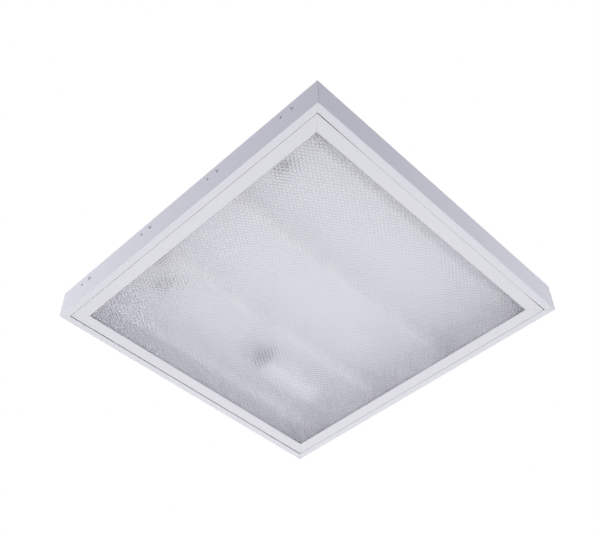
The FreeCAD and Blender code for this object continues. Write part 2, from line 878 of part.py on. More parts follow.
def hinge_lugs():
    """Lugs staked into the hinge rail's channel, with the running bore for the pin."""
    lugs = []
    for hand, side in SIDES.items():
        name = f"hinge_lug_{hand}"
        span = mirrored(side, "hinge_lug_start", "hinge_lug_end")
        foot = box(
            f"{name}_foot",
            span,
            ("door_hinge - rib_inset + key_play", "door_hinge - rail_leg - key_play"),
            ("rail_floor", "hinge_z"),
        )
        eye = rod(f"{name}_eye", "x", "hinge_eye", span, "hinge_y", "hinge_z")
        bore = rod(f"{name}_bore", "x", "hinge_pin_radius + hinge_run", span, "hinge_y", "hinge_z")
        lugs.append(cut(name, fuse(f"{name}_blank", [foot, eye]), [bore]))
    node(group("hinge_lugs", lugs), "hinge_lugs")


def hinge_brackets():
    """Swan-neck ears on the housing lip, which reach over the rail's edge and down to the pin."""
    brackets = []
    for hand, side in SIDES.items():
        name = f"hinge_bracket_{hand}"
        ear = mirrored(side, "hinge_ear_start", "hinge_ear_end")
        foot = mirrored(side, "hinge_ear_start", "hinge_ear_start + hinge_foot_length")
        front = ("hinge_y + hinge_neck_front - hinge_neck", "hinge_y + hinge_neck_front")
        post = ("hinge_post", "hinge_post + hinge_arm_thick")
        pieces = [
            rod(f"{name}_eye", "x", "hinge_eye", ear, "hinge_y", "hinge_z"),
            box(f"{name}_neck", ear, front, ("hinge_z", "hinge_arm_top")),
            box(f"{name}_arm", ear, (front[0], post[1]), ("hinge_arm_low", "hinge_arm_top")),
            box(f"{name}_post", ear, post, ("lip_top", "hinge_arm_top")),
            box(
                f"{name}_foot",
                foot,
                ("hinge_post", "wall_y - hinge_play"),
                ("lip_top", "lip_top + hinge_foot_thick"),
            ),
        ]
        bore = rod(f"{name}_bore", "x", "hinge_pin_radius + hinge_fit", ear, "hinge_y", "hinge_z")
        brackets.append(cut(name, fuse(f"{name}_blank", pieces), [bore]))
    node(group("hinge_brackets", brackets), "hinge_brackets")


def hinge_pins():
    """Pins fixed in the brackets, headed at both ends."""
    pins = []
    for hand, side in SIDES.items():
        name = f"hinge_pin_{hand}"
        start = "hinge_lug_start - hinge_play"
        end = "hinge_ear_end"
        head = "hinge_pin_radius + hinge_pin_head"
        stretches = [
            ("shank", "hinge_pin_radius", start, end),
            ("head", head, f"{start} - hinge_pin_head_thick", start),
            ("tail", head, end, f"{end} + hinge_pin_head_thick"),
        ]
        pieces = [
            rod(f"{name}_{part}", "x", radius, mirrored(side, low, high), "hinge_y", "hinge_z")
            for part, radius, low, high in stretches
        ]
        pins.append(fuse(name, pieces))
    node(group("hinge_pins", pins), "hinge_pins")


# Spring catches


def catch(hand, side):
    """Body on the housing lip, and the plunger that runs in it towards the door."""
    middle = f"{side} * catch_x"
    body_label = f"catch_body_{hand}"
    block = box(
        f"{body_label}_block",
        about(middle, "catch_width"),
        ("-(catch_back)", "-(catch_front)"),
        ("lip_top", "lip_top + catch_height"),
    )
    chamber = rod(
        f"{body_label}_chamber",
        "y",
        "collar_radius + plunger_run",
        ("-(catch_seat)", "-(catch_shoulder)"),
        middle,
        "catch_z",
    )
    mouth = rod(
        f"{body_label}_mouth",
        "y",
        "plunger_radius + plunger_run",
        ("-(catch_shoulder)", "-(catch_front) + catch_wall"),
        middle,
        "catch_z",
    )
    node(cut(body_label, block, [chamber, mouth]), body_label)

    plunger_label = f"catch_plunger_{hand}"
    nose_end = "-(catch_tip) - plunger_radius"
    node(
        fuse(
            plunger_label,
            [
                rod(
                    f"{plunger_label}_collar",
                    "y",
                    "collar_radius",
                    ("-(catch_collar)", "-(catch_shoulder)"),
                    middle,
                    "catch_z",
                ),
                rod(
                    f"{plunger_label}_nose",
                    "y",
                    "plunger_radius",
                    ("-(catch_shoulder)", nose_end),
                    middle,
                    "catch_z",
                ),
                ball(f"{plunger_label}_tip", "plunger_radius", middle, nose_end, "catch_z"),
            ],
        ),
        plunger_label,
    )


def arc_edge(start, corner, end):
    """Arc that leaves start towards corner and reaches end from it, both the same way off."""
    weight = (end - start).Length / (2 * (corner - start).Length)
    middle = (start + corner * (2 * weight) + end) * (1 / (2 * (1 + weight)))
    return Part.Arc(start, middle, end).toShape()


def tube(path, start, direction, radius):
    """Round wire of one radius along a path of straight runs and tangent arcs."""
    ring = Part.Wire([Part.Circle(start, direction, radius).toShape()])
    return Part.Wire(path).makePipeShell([ring], True, False)


def helix_path(centre, radius, start, end, turns):
    """Helix along Y as two tangent arcs to each quarter turn."""
    quarter = math.pi / 2
    climb = (end - start) / (turns * 2 * math.pi)

    def point(angle):
        offset = FreeCAD.Vector(radius * math.cos(angle), 0, radius * math.sin(angle))
        return centre + offset + FreeCAD.Vector(0, start + climb * angle, 0)

    def tangent(angle):
        vector = FreeCAD.Vector(-radius * math.sin(angle), climb, radius * math.cos(angle))
        return vector.normalize()

    edges = []
    for step in range(4 * turns):
        first, last = point(step * quarter), point((step + 1) * quarter)
        leave, arrive = tangent(step * quarter), tangent((step + 1) * quarter)
        span, both = last - first, leave + arrive
        spread = 2 * (1 - leave.dot(arrive))
        along = span.dot(both)
        leg = (math.sqrt(along**2 + spread * span.dot(span)) - along) / spread
        corner_a, corner_b = first + leave * leg, last - arrive * leg
        joint = (corner_a + corner_b) * 0.5
        edges += [arc_edge(first, corner_a, joint), arc_edge(joint, corner_b, last)]
    return edges, point(0), tangent(0)


SPRING_TURNS = 5


def catch_springs():
    """Coil behind each plunger's collar, between it and the end of the chamber."""
    springs = []
    wire = size("spring_wire_radius")
    radius = size("collar_radius - spring_play") - wire
    start = -size("catch_seat") + wire + size("plunger_run")
    end = -size("catch_collar") - wire - size("plunger_run")
    for hand, side in SIDES.items():
        centre = FreeCAD.Vector(side * size("catch_x"), 0, size("catch_z"))
        path, first, direction = helix_path(centre, radius, start, end, SPRING_TURNS)
        spring = doc.addObject("Part::Feature", f"catch_spring_{hand}")
        spring.Shape = tube(path, first, direction, wire)
        springs.append(spring)
    gap = (end - start) / SPRING_TURNS - 2 * wire
    print(f"catch springs: gap between turns {gap:.2f} mm")
    node(group("catch_springs", springs), "catch_springs")


# Lamps and lampholders


def lamp(number):
    """Glass tube, two caps and four pins, with the rotors that turn with it."""
    y = f"{LAMP_STEPS[number]} * lamp_pitch"
    z = "0 - lamp_drop"
    tube_end = "lamp_face - cap_disc - cap_fit"
    span = (f"-({tube_end})", tube_end)
    glass = rod(f"tube_{number}_glass", "x", "tube_radius", span, y, z)
    hollow = rod(f"tube_{number}_hollow", "x", "tube_radius - tube_wall", span, y, z)
    node(cut(f"lamp_tube_{number}", glass, [hollow]), f"lamp_tube_{number}")

    caps, pins, rotors = [], [], []
    for hand, side in SIDES.items():
        name = f"lamp_{number}_{hand}"
        whole = mirrored(side, "lamp_face - cap_length", "lamp_face")
        disc = mirrored(side, "lamp_face - cap_disc", "lamp_face")
        skirt = mirrored(side, "lamp_face - cap_length", "lamp_face - cap_disc")
        cap = rod(f"{name}_cap_blank", "x", "cap_radius", whole, y, z)
        openings = [rod(f"{name}_cap_inside", "x", "cap_inner", skirt, y, z)]
        for step in ("-0.5", "0.5"):
            pin_y = f"{y} + {step} * pin_pitch"
            tag = "a" if step.startswith("-") else "b"
            openings.append(rod(f"{name}_pin_hole_{tag}", "x", "pin_radius + pin_fit", disc, pin_y, z))
            pin = mirrored(side, "lamp_face - cap_disc", "pin_end")
            pins.append(rod(f"{name}_pin_{tag}", "x", "pin_radius", pin, pin_y, z))
        caps.append(cut(f"{name}_cap", cap, openings))

        thick = mirrored(side, "rotor_face", "rotor_back")
        wheel = rod(f"{name}_rotor_disc", "x", "rotor_radius", thick, y, z)
        slot_half = "(pin_radius + rotor_slot_play)"
        slot = box(
            f"{name}_rotor_slot",
            thick,
            (f"{y} - pin_pitch / 2 - {slot_half}", f"{y} + 2 * rotor_radius"),
            (f"{z} - {slot_half}", f"{z} + {slot_half}"),
        )
        rotors.append(cut(f"{name}_rotor", wheel, [slot]))
    node(group(f"lamp_caps_{number}", caps), f"lamp_caps_{number}")
    node(group(f"lamp_pins_{number}", pins), f"lamp_pins_{number}")
    node(group(f"lamp_rotors_{number}", rotors), f"lamp_rotors_{number}")


def lampholder(number, hand, side):
    """Holder under its bracket's shelf, open at the front for the rotor and below for the pins."""
    name = f"lampholder_{number}_{hand}"
    y = f"{LAMP_STEPS[number]} * lamp_pitch"
    z = "0 - lamp_drop"
    bottom = f"{z} - holder_drop"
    boss_x = mirrored(side, "holder_face + boss_inset", "holder_face + boss_inset + boss_depth")
    barb_low = "0 - shelf_drop + boss_play"
    block = box(
        f"{name}_block",
        mirrored(side, "holder_face", "holder_back"),
        about(y, "holder_width"),
        (bottom, "holder_top"),
    )
    boss = box(f"{name}_boss", boss_x, about(y, "boss_width"), ("holder_top", barb_low))
    barb = box(
        f"{name}_barb",
        boss_x,
        about(y, "boss_width + 2 * barb_reach"),
        (barb_low, f"{barb_low} + barb_height"),
    )
    front = mirrored(side, "lamp_face", "rotor_seat")
    behind = mirrored(side, "rotor_seat", "cavity_end")
    seat = rod(f"{name}_seat", "x", "rotor_radius + rotor_play", front, y, z)
    cavity = rod(f"{name}_cavity", "x", "cavity_radius", behind, y, z)
    slot = box(
        f"{name}_slot",
        mirrored(side, "lamp_face", "cavity_end"),
        about(y, "holder_slot"),
        (f"{bottom} - holder_slot", z),
    )
    return cut(name, fuse(f"{name}_blank", [block, boss, barb]), [seat, cavity, slot])


def lampholder_contacts():
    """Contact strips in each lampholder, one beside each pin."""
    strips = []
    inner = "pin_sweep + contact_play"
    for number, step in LAMP_STEPS.items():
        y = f"{step} * lamp_pitch"
        for hand, side in SIDES.items():
            for tag, way in (("a", -1), ("b", 1)):
                reach = mirrored(way, inner, f"{inner} + contact_thick")
                strips.append(
                    box(
                        f"contact_{number}_{hand}_{tag}",
                        mirrored(side, "rotor_seat", "cavity_end"),
                        (f"{y} + ({reach[0]})", f"{y} + ({reach[1]})"),
                        about("0 - lamp_drop", "contact_height"),
                    )
                )
    node(group("lampholder_contacts", strips), "lampholder_contacts")


def lampholder_bracket(number, hand, side):
    """Angle on the side wall: a flange with two holes, and a shelf that the holder clips into."""
    name = f"bracket_{number}_{hand}"
    y = f"{LAMP_STEPS[number]} * lamp_pitch"
    flange_x = mirrored(side, "wall_x - bracket_sheet", "wall_x")
    flange = box(
        f"{name}_flange",
        flange_x,
        about(y, "bracket_width"),
        ("0 - bracket_drop", "0 - shelf_drop"),
    )
    shelf = box(
        f"{name}_shelf",
        mirrored(side, "holder_face", "wall_x"),
        about(y, "bracket_width"),
        ("holder_top", "0 - shelf_drop"),
    )
    boss_hole = box(
        f"{name}_boss_hole",
        mirrored(
            side,
            "holder_face + boss_inset - boss_play",
            "holder_face + boss_inset + boss_depth + boss_play",
        ),
        about(y, "boss_width + 2 * boss_play"),
        ("holder_top - bracket_sheet", "bracket_sheet - shelf_drop"),
    )
    marks = [("a", "-0.5", "screw_radius + screw_fit"), ("b", "0.5", "mark_hole_radius")]
    holes = [
        rod(f"{name}_hole_{tag}", "x", radius, flange_x, f"{y} + {mark} * mark_pitch", "0 - mark_drop")
        for tag, mark, radius in marks
    ]
    return cut(name, fuse(f"{name}_blank", [flange, shelf]), [boss_hole, *holes])


def bracket_screw(number, hand, side):
    """Pan-head screw with a cross recess, from outside through the wall into the bracket."""
    name = f"bracket_screw_{number}_{hand}"
    y = f"{LAMP_STEPS[number]} * lamp_pitch - mark_pitch / 2"
    z = "0 - mark_drop"
    shank = mirrored(side, "wall_x - bracket_sheet - screw_tail", "half_x")
    rim = mirrored(side, "half_x", "half_x + screw_head_thick - screw_head_bevel")
    bevel = mirrored(side, "half_x + screw_head_thick - screw_head_bevel", "half_x + screw_head_thick")
    radii = ("screw_head_radius", "screw_head_radius - screw_head_bevel")
    pieces = [
        rod(f"{name}_shank", "x", "screw_radius", shank, y, z),
        rod(f"{name}_rim", "x", "screw_head_radius", rim, y, z),
        cone(f"{name}_bevel", "x", radii if side > 0 else radii[::-1], bevel, y, z),
    ]
    deep = mirrored(side, "half_x + screw_head_thick - recess_depth", "half_x + 2 * screw_head_thick")
    cross = [
        box(f"{name}_cross_a", deep, about(y, "recess_length"), about(z, "recess_width")),
        box(f"{name}_cross_b", deep, about(y, "recess_width"), about(z, "recess_length")),
    ]
    return cut(name, fuse(f"{name}_blank", pieces), [fuse(f"{name}_cross", cross)])


def lamp_mountings():
    screws = []
    for number in LAMP_STEPS:
        holders = [lampholder(number, hand, side) for hand, side in SIDES.items()]
        node(group(f"lampholders_{number}", holders), f"lampholders_{number}")
    for hand, side in SIDES.items():
        brackets = [lampholder_bracket(number, hand, side) for number in LAMP_STEPS]
        label = f"lampholder_brackets_{hand}"
        node(group(label, brackets), label)
        screws += [bracket_screw(number, hand, side) for number in LAMP_STEPS]
    node(group("bracket_screws", screws), "bracket_screws")
    lampholder_contacts()


# Ballast


def screw_down(name, x, y, low):
    """Pan-head screw that holds a foot up against the ceiling plate, with its head below the foot."""
    head_end = f"{low} - screw_head_thick"
    rim_end = f"{head_end} + screw_head_bevel"
    pieces = [
        rod(f"{name}_shank", "z", "screw_radius", (low, "0 - sheet"), x, y),
        rod(f"{name}_rim", "z", "screw_head_radius", (rim_end, low), x, y),
        cone(
            f"{name}_bevel",
            "z",
            ("screw_head_radius - screw_head_bevel", "screw_head_radius"),
            (head_end, rim_end),
            x,
            y,
        ),
    ]
    deep = (f"{head_end} - screw_head_thick", f"{head_end} + recess_depth")
    cross = [
        box(f"{name}_cross_a", about(x, "recess_length"), about(y, "recess_width"), deep),
        box(f"{name}_cross_b", about(x, "recess_width"), about(y, "recess_length"), deep),
    ]
    return cut(name, fuse(f"{name}_blank", pieces), [fuse(f"{name}_cross", cross)])


def ballast():
    """Base on the ceiling plate, the circuit board on its ribs, a cover, and a block at each end."""
    width = about("ballast_y", "ballast_width")
    ears = {"in": "ballast_x - ballast_ear / 2", "out": "ballast_end + ballast_ear / 2"}
    plate = box(
        "ballast_plate",
        ("ballast_x - ballast_ear", "ballast_end + ballast_ear"),
        width,
        ("ballast_floor", "0 - sheet"),
    )
    inner = ("cover_start + ballast_sheet + board_play", "cover_end - ballast_sheet - board_play")
    rib_low = "ballast_floor - ballast_rib_height"
    ribs = []
    for tag, side in (("low", -1), ("high", 1)):
        reach = mirrored(side, "ballast_width / 4 - ballast_rib", "ballast_width / 4")
        limits = (f"ballast_y + ({reach[0]})", f"ballast_y + ({reach[1]})")
        ribs.append(box(f"ballast_rib_{tag}", inner, limits, (rib_low, "ballast_floor")))
    through = ("ballast_floor", "0 - sheet")
    holes = [
        rod(f"ballast_hole_{end}", "z", "screw_radius + screw_fit", through, x, "ballast_y")
        for end, x in ears.items()
    ]
    node(cut("ballast_base", fuse("ballast_base_blank", [plate, *ribs]), holes), "ballast_base")

    board = box(
        "ballast_board",
        inner,
        about("ballast_y", "ballast_width - 2 * ballast_sheet - 2 * board_play"),
        (f"{rib_low} - board_thick", rib_low),
    )
    node(board, "ballast_board")

    body = new_body("ballast_cover")
    outline = new_sketch(body, "outline", "XY_Plane", "0 - sheet - (ballast_height + ballast_sheet) / 2")
    low, high = width
    start, end = "cover_start", "cover_end"
    polygon(outline, [(start, low), (end, low), (end, high), (start, high)])
    shell = pad(body, outline, "ballast_height - ballast_sheet")
    bottom = size("0 - sheet - ballast_height")
    round_edges(
        body,
        shell,
        "ballast_edge_radius",
        "xy",
        lambda p: abs(p.z - bottom) < size("ballast_sheet") / 100,
    )
    inside = new_sketch(body, "inside", "XY_Plane", "ballast_floor")
    polygon(
        inside,
        [
            (f"{start} + ballast_sheet", f"{low} + ballast_sheet"),
            (f"{end} - ballast_sheet", f"{low} + ballast_sheet"),
            (f"{end} - ballast_sheet", f"{high} - ballast_sheet"),
            (f"{start} + ballast_sheet", f"{high} - ballast_sheet"),
        ],
    )
    pocket(body, inside, "2 * (ballast_height - 2 * ballast_sheet)")

    for label, first, mouth in (
        ("ballast_input_block", "ballast_x", "ballast_x"),
        ("ballast_output_block", "ballast_end - ballast_block_length", "ballast_end"),
    ):
        block = box(
            f"{label}_body",
            (first, f"{first} + ballast_block_length"),
            width,
            ("ballast_floor - ballast_block_height", "ballast_floor"),
        )
        entries = [
            rod(
                f"{label}_entry_{i}",
                "x",
                "lead_radius + lead_rest",
                about(mouth, "ballast_block_length"),
                y,
                "0 - lead_entry_drop",
            )
            for i, y in enumerate(block_lanes(label))
        ]
        node(cut(label, block, entries), label)

    screws = [
        screw_down(f"ballast_screw_{tag}", x, "ballast_y", "ballast_floor") for tag, x in ears.items()
    ]
    node(group("ballast_screws", screws), "ballast_screws")


# Leads


def lamp_lane(number):
    """Distance along Y of a lamp's lead where it leaves the ballast."""
    return f"ballast_y + lead_lane + {number - 1} * lead_pitch"


SUPPLY_LANES = {"live_lead": "ballast_y - live_lane", "neutral_lead": "ballast_y - neutral_lane"}


def block_lanes(label):
    """Where leads enter a connector block: lamp leads at both ends, the supply at one."""
    lanes = [lamp_lane(number) for number in LAMP_STEPS]
    if label == "ballast_input_block":
        lanes += SUPPLY_LANES.values()
    return lanes


BEND_SHARE = 0.45


def lead(name, points):
    """Round lead through a list of points, with an arc at each as large as its runs allow."""
    spots = [FreeCAD.Vector(*(size(text) for text in point)) for point in points]
    room = [BEND_SHARE * (b - a).Length for a, b in zip(spots, spots[1:])]
    room[0] *= 2
    room[-1] *= 2
    edges, reached, radii = [], spots[0], []
    for i in range(1, len(spots) - 1):
        leg = min(room[i - 1], room[i])
        before = spots[i] + (spots[i - 1] - spots[i]).normalize() * leg
        after = spots[i] + (spots[i + 1] - spots[i]).normalize() * leg
        turn = (spots[i] - spots[i - 1]).getAngle(spots[i + 1] - spots[i])
        radii.append(leg / math.tan(turn / 2))
        edges.append(Part.LineSegment(reached, before).toShape())
        edges.append(arc_edge(before, spots[i], after))
        reached = after
    edges.append(Part.LineSegment(reached, spots[-1]).toShape())
    piece = doc.addObject("Part::Feature", name)
    piece.Shape = tube(edges, spots[0], spots[1] - spots[0], size("lead_radius"))
    print(f"{name}: {sum(e.Length for e in edges):.0f} mm, least bend {min(radii):.1f} mm")
    return piece


def supply_leads():
    """Live and neutral from the terminal block to the ballast, and earth to its stud."""
    start = "terminal_x + terminal_length / 2 + lead_end_gap"
    drop = "0 - lead_entry_drop"
    for label, step in (("live_lead", "-1"), ("neutral_lead", "0")):
        y = f"terminal_y + {step} * terminal_pitch"
        lane = SUPPLY_LANES[label]
        points = [
            (start, y, drop),
            (f"{start} + lead_out", y, drop),
            (f"{start} + lead_out + lead_rise", y, "lead_z"),
            ("terminal_x / 2", y, "lead_z"),
            ("lane_x", lane, "lead_z"),
            ("ballast_x - lead_out - lead_rise", lane, "lead_z"),
            ("ballast_x - lead_out", lane, drop),
            ("ballast_x - lead_end_gap", lane, drop),
        ]
        node(lead(label, points), label)
    earth_y = "terminal_y + terminal_pitch"
    turn_x = f"{start} + lead_out + 2 * lead_rise"
    points = [
        (start, earth_y, drop),
        (f"{start} + lead_out", earth_y, drop),
        (f"{start} + lead_out + lead_rise", earth_y, "lead_z"),
        (turn_x, earth_y, "lead_z"),
        (turn_x, "earth_y", "lead_z"),
        ("earth_x + earth_washer_radius + lead_end_gap", "earth_y", "lead_z"),
    ]
    node(lead("earth_lead", points), "earth_lead")


# Rows below the first in which the lamp leads run along the side wall
LEAD_ROWS = {1: 2, 2: 1, 3: 0, 4: 0}


def lamp_leads():
    """One lead to each lampholder: along the ceiling plate and down into the holder's back."""
    leads = []
    for hand, side in SIDES.items():
        mouth = "ballast_end + lead_end_gap" if side > 0 else "-(ballast_x - lead_end_gap)"
        for number, step in LAMP_STEPS.items():
            lane = lamp_lane(number)
            level = f"0 - lead_level - {LEAD_ROWS[number]} * lead_pitch"
            goal = f"{step} * lamp_pitch"
            wall = f"{side} * lead_wall_x"
            points = [
                (f"{side} * ({mouth})", lane, "0 - lead_entry_drop"),
                (f"{side} * ({mouth} + lead_out)", lane, "0 - lead_entry_drop"),
                (f"{side} * ({mouth} + lead_out + lead_rise)", lane, "lead_z"),
                (f"{side} * (lead_wall_x - lead_turn)", lane, "lead_z"),
                (wall, lane, level),
                (wall, goal, level),
                (f"{side} * (holder_back + lead_end_gap)", goal, level),
            ]
            leads.append(lead(f"lamp_lead_{number}_{hand}", points))
    node(group("lamp_leads", leads), "lamp_leads")


def lead_clips():
    """Saddles that hold the lamp leads up against the ceiling plate."""
    clips = []
    low = f"{lamp_lane(1)} - lead_pitch"
    high = f"{lamp_lane(4)} + lead_pitch"
    strap_low = "lead_z - lead_radius - lead_rest"
    right = "(ballast_end + lead_out + lead_rise + lead_wall_x - lead_turn) / 2"
    spots = ("lane_x", "terminal_x / 2", right)
    for i, x in enumerate(spots, start=1):
        name = f"lead_clip_{i}"
        outer = box(
            f"{name}_outer",
            about(x, "clip_strap"),
            (f"{low} - clip_wall", f"{high} + clip_wall"),
            (f"{strap_low} - clip_wall", "0 - sheet"),
        )
        inner = box(f"{name}_inner", about(x, "2 * clip_strap"), (low, high), (strap_low, "sheet"))
        clips.append(cut(name, outer, [inner]))
    node(group("lead_clips", clips), "lead_clips")


# Mains terminal block and earth


def terminal_block():
    """Three-way block on the ceiling plate: brass clamps with a screw each, in an insulating body."""
    length = about("terminal_x", "terminal_length")
    block = box(
        "terminal_body",
        length,
        about("terminal_y", "terminal_width"),
        ("0 - sheet - terminal_height", "0 - sheet"),
    )
    openings, clamps, screws = [], [], []
    z = "0 - lead_entry_drop"
    for i, step in enumerate(("-1", "0", "1"), start=1):
        y = f"terminal_y + {step} * terminal_pitch"
        room = "clamp_size + 2 * clamp_play"
        entry = "clamp_bore_radius"
        openings += [
            box(
                f"clamp_room_{i}",
                about("terminal_x", "clamp_length + 2 * clamp_play"),
                about(y, room),
                about(z, room),
            ),
            rod(f"clamp_entry_{i}", "x", entry, length, y, z),
            rod(
                f"clamp_well_{i}",
                "z",
                "clamp_screw_radius + clamp_screw_play",
                ("0 - sheet - 2 * terminal_height", z),
                "terminal_x",
                y,
            ),
        ]
        inside = about("terminal_x", "clamp_length")
        body = box(f"clamp_body_{i}", inside, about(y, "clamp_size"), about(z, "clamp_size"))
        bore = rod(f"clamp_bore_{i}", "x", entry, inside, y, z)
        clamps.append(cut(f"terminal_clamp_{i}", body, [bore]))
        head = f"{z} - clamp_size / 2"
        screw = rod(
            f"clamp_screw_{i}_blank",
            "z",
            "clamp_screw_radius",
            (f"{head} - clamp_screw_depth", head),
            "terminal_x",
            y,
        )
        slot = box(
            f"clamp_screw_{i}_slot",
            about("terminal_x", "4 * clamp_screw_radius"),
            about(y, "recess_width"),
            (f"{head} - 2 * clamp_screw_depth", f"{head} - clamp_screw_depth + recess_depth"),
        )
        screws.append(cut(f"clamp_screw_{i}", screw, [slot]))
    node(cut("terminal_block", block, openings), "terminal_block")
    node(group("terminal_clamps", clamps), "terminal_clamps")
    node(group("terminal_screws", screws), "terminal_screws")


def earth_terminal():
    """Stud welded under the ceiling plate, with a washer and nut."""
    plate = "0 - sheet"
    stud_end = f"{plate} - earth_length"
    stud = rod("earth_stud", "z", "earth_radius", (stud_end, plate), "earth_x", "earth_y")
    node(stud, "earth_stud")
    washer_low = f"{plate} - earth_washer_thick"
    washer = rod("earth_washer", "z", "earth_washer_radius", (washer_low, plate), "earth_x", "earth_y")
    nut = doc.addObject("Part::Prism", "earth_hexagon")
    nut.Polygon = 6
    bind(nut, Circumradius="earth_nut_flats / sqrt(3)", Height="earth_nut_thick")
    place(nut, "earth_x", "earth_y", f"{washer_low} - earth_nut_thick")
    bore = rod(
        "earth_nut_bore",
        "z",
        "earth_radius + screw_fit",
        (stud_end, "sheet"),
        "earth_x",
        "earth_y",
    )
    node(cut("earth_nut", fuse("earth_nut_blank", [washer, nut]), [bore]), "earth_nut")


# Assembly


def build():
    housing_pan()
    end_wall("hinge_end_wall", 1)
    catch_wall()
    cable_grommets()
    hinge_rail()
    catch_rail()
    side_rail("frame_rail_left", -1)
    side_rail("frame_rail_right", 1)
    corner_keys()
    prismatic_panel()
    panel_clips()
    hinge_lugs()
    hinge_brackets()
    hinge_pins()
    for hand, side in SIDES.items():
        catch(hand, side)
    catch_springs()
    for number in LAMP_STEPS:
        lamp(number)
    lamp_mountings()
    ballast()
    terminal_block()
    earth_terminal()
    supply_leads()
    lamp_leads()
    lead_clips()
    doc.recompute()


def check():
    """Stops before anything is written if an object failed or a sub-part has no sound shape."""
    failed = [o.Name for o in doc.Objects if {"Invalid", "Error"} & set(o.State)]
    unsound = [n.Label for n in nodes if n.Shape.isNull() or not n.Shape.isValid() or not n.Shape.Solids]
    if failed or unsound:
        raise RuntimeError(f"failed objects {failed}, unsound sub-parts {unsound}")


def write():
    os.makedirs("parts", exist_ok=True)
    for piece in nodes:
        piece.Shape.exportStep(f"parts/{piece.Label}.step")
    print(f"{len(nodes)} sub-parts, {sum(len(n.Shape.Solids) for n in nodes)} solids")


build()
check()
write()
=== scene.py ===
# %% [markdown]
# A flat ceiling light is packed as CAD solids: a folded housing, a hinged door, lamps, a ballast and leads.
# This lesson gives those solids their looks. Two kinds of piece are made new: the coils behind the door's
# catches, which in the real catches get shorter, and the clear sheet with its field of prisms.

# %% Load the frame
import json
import math

import bpy
import numpy as np
from mathutils import Matrix, Vector


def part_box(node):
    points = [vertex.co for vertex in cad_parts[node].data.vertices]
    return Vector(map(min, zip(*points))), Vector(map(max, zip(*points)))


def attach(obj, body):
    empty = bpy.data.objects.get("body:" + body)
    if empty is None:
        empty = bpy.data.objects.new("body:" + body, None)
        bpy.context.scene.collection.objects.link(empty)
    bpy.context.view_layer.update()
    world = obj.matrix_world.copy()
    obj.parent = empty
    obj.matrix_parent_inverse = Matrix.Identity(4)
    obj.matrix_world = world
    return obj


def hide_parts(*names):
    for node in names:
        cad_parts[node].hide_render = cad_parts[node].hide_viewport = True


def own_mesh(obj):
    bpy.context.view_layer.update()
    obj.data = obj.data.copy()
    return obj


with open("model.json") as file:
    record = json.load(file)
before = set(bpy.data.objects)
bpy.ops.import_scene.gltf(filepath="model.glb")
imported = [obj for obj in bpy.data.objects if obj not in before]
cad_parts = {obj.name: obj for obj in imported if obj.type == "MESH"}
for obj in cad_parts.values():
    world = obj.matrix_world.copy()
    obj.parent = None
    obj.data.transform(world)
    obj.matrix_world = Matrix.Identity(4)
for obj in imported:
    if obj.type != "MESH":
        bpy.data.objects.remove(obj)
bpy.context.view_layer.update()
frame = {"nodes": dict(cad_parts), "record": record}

scene = bpy.context.scene
nodes = frame["nodes"]

# %% [markdown]
# The photograph looks up at the light from below one corner. A camera is set by where it stands, which way
# it looks, how it is rolled and how long its lens is. These were worked out from the corners of the housing
# and the door in the picture, so they are plain numbers here rather than a guess dragged into place.

# %% Camera
CAMERA_PLACE = Vector((-0.84986, -0.80163, -1.19349))
CAMERA_AZIMUTH = math.radians(-46.099)
CAMERA_ELEVATION = math.radians(-47.021)
CAMERA_ROLL = math.radians(-0.726)
CAMERA_LENS = 55.864


def aimed(place, towards):
    """World matrix of a camera or lamp at a place, looking along -Z towards a direction, with Y up."""
    turn = Vector(towards).to_track_quat("-Z", "Y").to_matrix().to_4x4()
    return Matrix.Translation(place) @ turn


look = Vector(
    (
        -math.sin(CAMERA_AZIMUTH) * math.cos(CAMERA_ELEVATION),
        math.cos(CAMERA_AZIMUTH) * math.cos(CAMERA_ELEVATION),
        -math.sin(CAMERA_ELEVATION),
    )
)
camera = bpy.data.objects.new("camera", bpy.data.cameras.new("camera"))
camera.data.lens = CAMERA_LENS
camera.matrix_world = aimed(CAMERA_PLACE, look) @ Matrix.Rotation(CAMERA_ROLL, 4, "Z")
scene.collection.objects.link(camera)
scene.camera = camera
print("camera looks along", [round(v, 3) for v in look])

# %% [markdown]
# Shader nodes are built over and over, so one small helper makes a node, sets what is plain on it and links
# the rest. A value that is a socket becomes a link, and any other value is set on the socket itself. The
# floor's paint is the first made with it. It is lifted for the eye alone: whoever looks at the floor sees it
# paler than the lamps leave it, and the light that it throws up at the object stays as it is.

# %% Floor paint
FLOOR_COLOUR = (0.86, 0.86, 0.84, 1.0)
FLOOR_LIFT = 0.6
FLOOR_GRAIN = 3.0
FLOOR_ROUGHNESS = (0.7, 0.85)


def put(tree, kind, inputs=None, **settings):
    """A shader node with its settings and inputs filled in."""
    made = tree.nodes.new("ShaderNode" + kind)
    for name, value in settings.items():
        setattr(made, name, value)
    for name, value in (inputs or {}).items():
        if isinstance(value, bpy.types.NodeSocket):
            tree.links.new(value, made.inputs[name])
        else:
            made.inputs[name].default_value = value
    return made


def ranged(tree, value, ends=(0.0, 1.0), span=(0.0, 1.0)):
    """A value that runs over a span, carried over to run between two ends."""
    limits = {"From Min": span[0], "From Max": span[1], "To Min": ends[0], "To Max": ends[1]}
    return put(tree, "MapRange", {"Value": value, **limits}).outputs["Result"]


def empty_material(name):
    """A material with nothing in it but its output node."""
    made = bpy.data.materials.new(name)
    made.use_nodes = True
    made.node_tree.nodes.clear()
    return made, made.node_tree, put(made.node_tree, "OutputMaterial")


